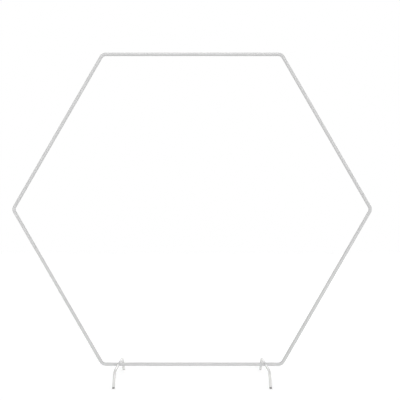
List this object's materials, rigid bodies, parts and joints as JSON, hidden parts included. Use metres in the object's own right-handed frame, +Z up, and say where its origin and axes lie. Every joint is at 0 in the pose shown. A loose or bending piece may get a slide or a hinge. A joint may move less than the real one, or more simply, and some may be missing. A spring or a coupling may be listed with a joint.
{
  "type": "free-standing hexagonal tube arbor",
  "caption": "Upright hexagonal frame of round steel tube in bent and straight push-fit sections, standing on two arched tube feet with plugged ends.",
  "frame": {"origin": "on the floor, midway between the four plugs and under the middle of the hexagon", "axes": "+X along the frame to the right as seen from the front, +Y from front to rear, +Z up"},
  "size_m": [2.209, 0.4766, 2.0033],
  "materials": {
    "frame_coat": "satin light grey powder coat",
    "leg_coat": "glossy off-white powder coat",
    "grey_plug": "moulded, mid grey"
  },
  "bodies": {
    "root": {"bottom_left_corner_tube": "frame_coat", "bottom_right_corner_tube": "frame_coat", "left_corner_tube": "frame_coat", "right_corner_tube": "frame_coat", "top_left_corner_tube": "frame_coat", "top_right_corner_tube": "frame_coat", "bottom_tube": "frame_coat", "lower_left_tube": "frame_coat", "lower_right_tube": "frame_coat", "upper_left_tube": "frame_coat", "upper_right_tube": "frame_coat", "top_tube": "frame_coat", "left_front_stub": "frame_coat", "left_rear_stub": "frame_coat", "right_front_stub": "frame_coat", "right_rear_stub": "frame_coat", "left_front_leg": "leg_coat", "left_rear_leg": "leg_coat", "right_front_leg": "leg_coat", "right_rear_leg": "leg_coat", "left_front_plug": "grey_plug", "left_rear_plug": "grey_plug", "right_front_plug": "grey_plug", "right_rear_plug": "grey_plug"}
  },
  "joints": []
}
